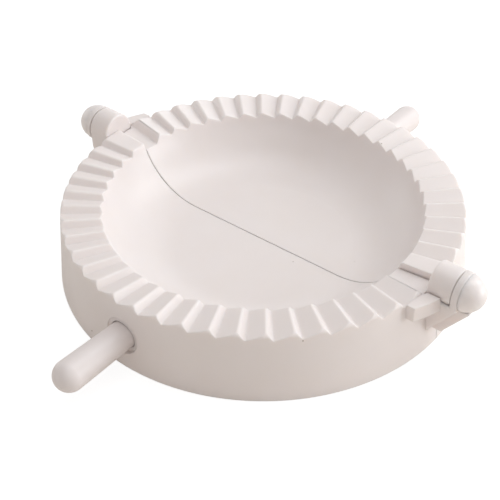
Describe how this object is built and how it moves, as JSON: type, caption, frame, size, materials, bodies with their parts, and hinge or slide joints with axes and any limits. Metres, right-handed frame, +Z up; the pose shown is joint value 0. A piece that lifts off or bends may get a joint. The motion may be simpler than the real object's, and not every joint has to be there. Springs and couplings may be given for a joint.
{
  "type": "empanada press",
  "caption": "Round folding press for filled pastries: hinged half bowls with a saw-toothed rim that shut over the dough, a pinned hinge at each end and a round handle on each half.",
  "frame": {"origin": "on the table under the middle of the open press, below the middle of the seam", "axes": "+X along the hinge line, +Y from the front half to the rear half, +Z up out of the bowl"},
  "size_m": [0.1838, 0.2086, 0.0336],
  "materials": {
    "moulding": "satin",
    "pin": "satin",
    "handle": "satin"
  },
  "bodies": {
    "front_side": {"front_half": "moulding", "right_hinge_pin": "pin", "front_handle": "handle"},
    "rear_side": {"rear_half": "moulding", "left_hinge_pin": "pin", "rear_handle": "handle"}
  },
  "joints": [
    {"name": "fold", "type": "hinge", "parent": "front_side", "child": "rear_side", "pos_m": [0, 0, 0.0266], "axis": [1, 0, 0], "range_deg": [0, 180]}
  ]
}
